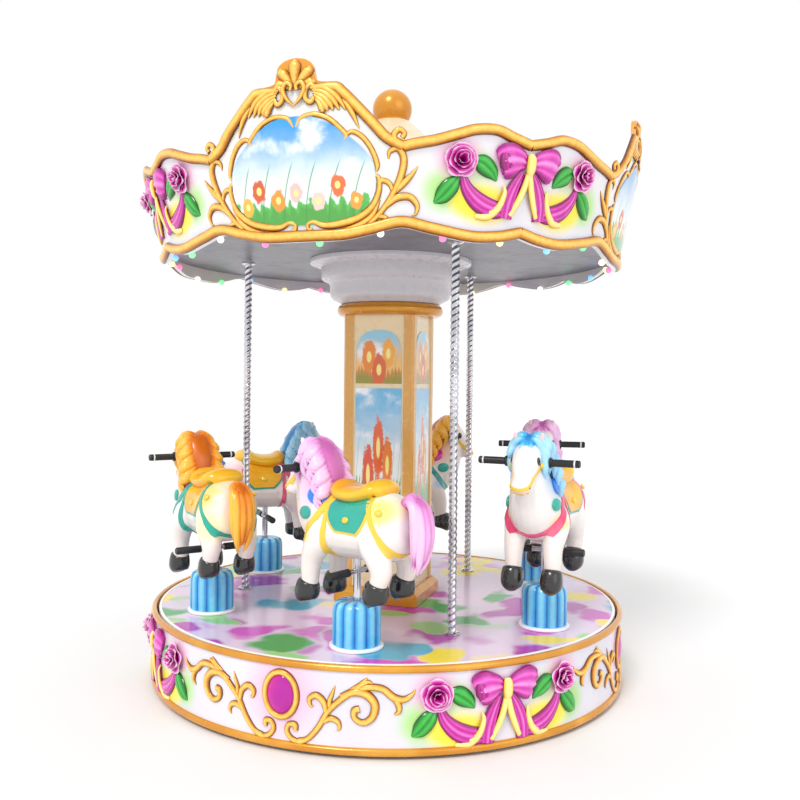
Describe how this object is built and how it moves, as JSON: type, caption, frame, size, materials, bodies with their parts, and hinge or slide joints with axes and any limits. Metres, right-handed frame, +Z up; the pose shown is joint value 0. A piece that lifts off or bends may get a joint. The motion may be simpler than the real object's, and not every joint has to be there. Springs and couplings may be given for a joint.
{
  "type": "children's carousel",
  "caption": "Small round carousel: a turning platform with a square column, a crowned canopy, twisted poles and ponies that rise and sink on pedestals above a round drum base.",
  "frame": {"origin": "on the ground at the middle of the base, on the turning axis", "axes": "+Z up along the turning axis, -Y towards the middle of the first crowned canopy panel, +X towards the second"},
  "size_m": [2.3348, 2.3348, 2.777],
  "materials": {
    "gold": "gold paint on moulded fibreglass",
    "drum_white": "glossy white gelcoat, tinted lavender",
    "fascia_white": "glossy white gelcoat",
    "roof_cream": "cream gelcoat",
    "ceiling_grey": "glossy grey",
    "floor_paint": "glossy painted blobs of purple, yellow, green and teal",
    "column_cream": "cream panels with painted pictures between gold corners",
    "capital_white": "off-white gelcoat",
    "pedestal_blue": "glossy blue with a white flange",
    "pony_white": "glossy painted fibreglass",
    "grip_black": "black rubber grips on a chromed bar",
    "chrome": "polished chrome",
    "frame_black": "black painted steel"
  },
  "bodies": {
    "base": {"base_chassis": "frame_black", "base_drum_wall": "drum_white", "base_top_rim": "gold", "base_bottom_moulding": "gold"},
    "turntable": {"platform": "floor_paint", "column_plinth": "gold", "column_shaft": "column_cream", "column_ring": "gold", "column_capital": "capital_white", "ceiling": "ceiling_grey", "fascia_1": "fascia_white", "fascia_2": "fascia_white", "fascia_3": "fascia_white", "fascia_4": "fascia_white", "roof": "roof_cream", "finial_ball": "gold", "pole_1": "chrome", "pole_2": "chrome", "pole_3": "chrome", "pedestal_1": "pedestal_blue", "pedestal_2": "pedestal_blue", "pedestal_3": "pedestal_blue", "pedestal_4": "pedestal_blue", "pedestal_5": "pedestal_blue", "pedestal_6": "pedestal_blue"},
    "pony_1": {"pony_body_1": "pony_white", "handlebar_1": "grip_black", "lift_rod_1": "chrome"},
    "pony_2": {"pony_body_2": "pony_white", "handlebar_2": "grip_black", "lift_rod_2": "chrome"},
    "pony_3": {"pony_body_3": "pony_white", "handlebar_3": "grip_black", "lift_rod_3": "chrome"},
    "pony_4": {"pony_body_4": "pony_white", "handlebar_4": "grip_black", "lift_rod_4": "chrome"},
    "pony_5": {"pony_body_5": "pony_white", "handlebar_5": "grip_black", "lift_rod_5": "chrome"},
    "pony_6": {"pony_body_6": "pony_white", "handlebar_6": "grip_black", "lift_rod_6": "chrome"}
  },
  "joints": [
    {"name": "turntable_spin", "type": "hinge", "parent": "base", "child": "turntable", "pos_m": [0, 0, 0.273], "axis": [0, 0, 1], "continuous": true},
    {"name": "pony_1_lift", "type": "slide", "parent": "turntable", "child": "pony_1", "axis": [0, 0, 1], "range_m": [-0.035, 0.065]},
    {"name": "pony_2_lift", "type": "slide", "parent": "turntable", "child": "pony_2", "axis": [0, 0, 1], "range_m": [-0.065, 0.035]},
    {"name": "pony_3_lift", "type": "slide", "parent": "turntable", "child": "pony_3", "axis": [0, 0, 1], "range_m": [-0.08, 0.02]},
    {"name": "pony_4_lift", "type": "slide", "parent": "turntable", "child": "pony_4", "axis": [0, 0, 1], "range_m": [-0.065, 0.035]},
    {"name": "pony_5_lift", "type": "slide", "parent": "turntable", "child": "pony_5", "axis": [0, 0, 1], "range_m": [-0.035, 0.065]},
    {"name": "pony_6_lift", "type": "slide", "parent": "turntable", "child": "pony_6", "axis": [0, 0, 1], "range_m": [-0.02, 0.08]}
  ]
}
